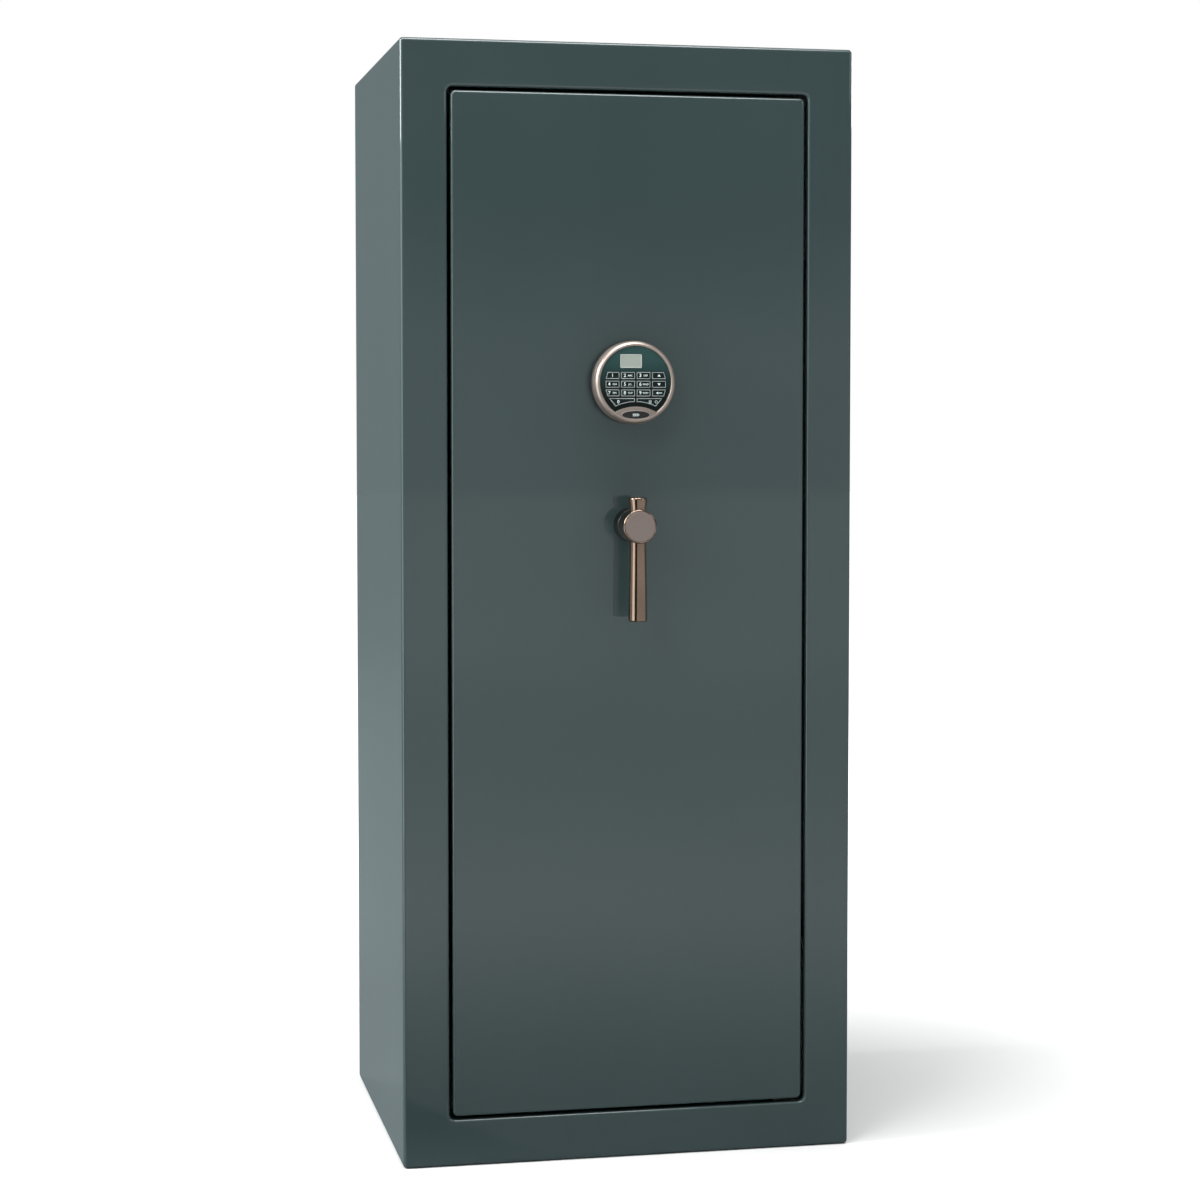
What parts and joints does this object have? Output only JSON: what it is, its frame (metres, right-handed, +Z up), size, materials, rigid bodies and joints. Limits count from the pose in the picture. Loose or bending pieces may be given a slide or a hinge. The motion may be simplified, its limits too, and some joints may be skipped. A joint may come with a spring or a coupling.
{
  "type": "gun safe",
  "caption": "Tall upright gun safe with a round keypad lock, lever handle, internal hinges, sliding bolts and a fabric-lined interior with shelves and a barrel rack.",
  "frame": {"origin": "centre of the body's footprint, on the flat underside", "axes": "+Z up along the safe's height, -Y out of the door, +X towards the hinge side"},
  "size_m": [0.622, 0.5801, 1.511],
  "materials": {
    "body_paint": "gloss",
    "bare_steel": "satin",
    "bolt_chrome": "polished",
    "brass": "satin",
    "fireboard": "matte",
    "lining_fabric": "matte",
    "shelf_fabric": "matte",
    "panel_fabric": "matte",
    "seal_rubber": "matte",
    "lock_case": "satin",
    "dark_bronze": "polished",
    "keypad_pewter": "satin",
    "keypad_face": "satin",
    "key_black": "gloss",
    "display": "gloss",
    "battery_case": "satin"
  },
  "bodies": {
    "body": {"body_shell": "body_paint", "fireboard_left": "fireboard", "fireboard_right": "fireboard", "fireboard_top": "fireboard", "fireboard_back": "fireboard", "fireboard_floor": "fireboard", "liner_left": "lining_fabric", "liner_right": "lining_fabric", "liner_floor": "lining_fabric", "liner_ceiling": "lining_fabric", "liner_back": "lining_fabric", "top_shelf": "shelf_fabric", "divider": "shelf_fabric", "shelf_lower": "shelf_fabric", "shelf_upper": "shelf_fabric", "gun_rack": "shelf_fabric", "hinge_bracket_lower": "bare_steel", "hinge_bracket_upper": "bare_steel", "hinge_pin_lower": "bare_steel", "hinge_pin_upper": "bare_steel"},
    "door": {"door_plate": "body_paint", "door_box": "bare_steel", "door_seal": "seal_rubber", "door_fireboard": "fireboard", "hard_plate": "bare_steel", "door_panel": "panel_fabric", "hinge_arm_lower": "bare_steel", "hinge_arm_upper": "bare_steel", "hinge_side_bar": "bare_steel", "handle_collar": "dark_bronze", "keypad_housing": "keypad_pewter", "keypad_face": "keypad_face", "lcd_window": "display", "battery": "battery_case", "lock_body": "lock_case"},
    "handle": {"handle_shaft": "bare_steel", "pinion": "bare_steel", "handle_hub": "dark_bronze", "handle_bar": "dark_bronze"},
    "bolts": {"bolt_carrier": "bare_steel", "locking_bolt_1": "bolt_chrome", "locking_bolt_2": "bolt_chrome", "locking_bolt_3": "bolt_chrome", "locking_bolt_4": "bolt_chrome"},
    "lock_bolt": {"lock_bolt": "brass"},
    "battery_cap": {"battery_cap": "keypad_pewter"},
    "key_1": {"key_1": "key_black"},
    "key_2": {"key_2": "key_black"},
    "key_3": {"key_3": "key_black"},
    "key_up": {"key_up": "key_black"},
    "key_4": {"key_4": "key_black"},
    "key_5": {"key_5": "key_black"},
    "key_6": {"key_6": "key_black"},
    "key_down": {"key_down": "key_black"},
    "key_7": {"key_7": "key_black"},
    "key_8": {"key_8": "key_black"},
    "key_9": {"key_9": "key_black"},
    "key_back": {"key_back": "key_black"},
    "key_0": {"key_0": "key_black"},
    "key_enter": {"key_enter": "key_black"}
  },
  "joints": [
    {"name": "door_swing", "type": "hinge", "parent": "body", "child": "door", "pos_m": [0.2735, -0.24275, 0.7555], "axis": [0, 0, 1], "range_deg": [0, 95]},
    {"name": "handle_turn", "type": "hinge", "parent": "door", "child": "handle", "pos_m": [0, -0.25775, 0.865], "axis": [0, -1, 0], "range_deg": [0, 90]},
    {"name": "bolt_throw", "type": "slide", "parent": "door", "child": "bolts", "axis": [-1, 0, 0], "range_m": [0, 0.0283]},
    {"name": "lock_bolt_drop", "type": "slide", "parent": "door", "child": "lock_bolt", "axis": [0, 0, -1], "range_m": [0, 0.01]},
    {"name": "battery_cap_pull", "type": "slide", "parent": "door", "child": "battery_cap", "axis": [0, 0, -1], "range_m": [0, 0.03]},
    {"name": "key_1_press", "type": "slide", "parent": "door", "child": "key_1", "axis": [0, 1, 0], "range_m": [0, 0.0008], "stiffness_N_per_m": 1000},
    {"name": "key_2_press", "type": "slide", "parent": "door", "child": "key_2", "axis": [0, 1, 0], "range_m": [0, 0.0008], "stiffness_N_per_m": 1000},
    {"name": "key_3_press", "type": "slide", "parent": "door", "child": "key_3", "axis": [0, 1, 0], "range_m": [0, 0.0008], "stiffness_N_per_m": 1000},
    {"name": "key_up_press", "type": "slide", "parent": "door", "child": "key_up", "axis": [0, 1, 0], "range_m": [0, 0.0008], "stiffness_N_per_m": 1000},
    {"name": "key_4_press", "type": "slide", "parent": "door", "child": "key_4", "axis": [0, 1, 0], "range_m": [0, 0.0008], "stiffness_N_per_m": 1000},
    {"name": "key_5_press", "type": "slide", "parent": "door", "child": "key_5", "axis": [0, 1, 0], "range_m": [0, 0.0008], "stiffness_N_per_m": 1000},
    {"name": "key_6_press", "type": "slide", "parent": "door", "child": "key_6", "axis": [0, 1, 0], "range_m": [0, 0.0008], "stiffness_N_per_m": 1000},
    {"name": "key_down_press", "type": "slide", "parent": "door", "child": "key_down", "axis": [0, 1, 0], "range_m": [0, 0.0008], "stiffness_N_per_m": 1000},
    {"name": "key_7_press", "type": "slide", "parent": "door", "child": "key_7", "axis": [0, 1, 0], "range_m": [0, 0.0008], "stiffness_N_per_m": 1000},
    {"name": "key_8_press", "type": "slide", "parent": "door", "child": "key_8", "axis": [0, 1, 0], "range_m": [0, 0.0008], "stiffness_N_per_m": 1000},
    {"name": "key_9_press", "type": "slide", "parent": "door", "child": "key_9", "axis": [0, 1, 0], "range_m": [0, 0.0008], "stiffness_N_per_m": 1000},
    {"name": "key_back_press", "type": "slide", "parent": "door", "child": "key_back", "axis": [0, 1, 0], "range_m": [0, 0.0008], "stiffness_N_per_m": 1000},
    {"name": "key_0_press", "type": "slide", "parent": "door", "child": "key_0", "axis": [0, 1, 0], "range_m": [0, 0.0008], "stiffness_N_per_m": 1000},
    {"name": "key_enter_press", "type": "slide", "parent": "door", "child": "key_enter", "axis": [0, 1, 0], "range_m": [0, 0.0008], "stiffness_N_per_m": 1000}
  ],
  "couplings": [
    {"joint": "bolt_throw", "follows": "handle_turn", "m_per_rad": 0.018}
  ]
}
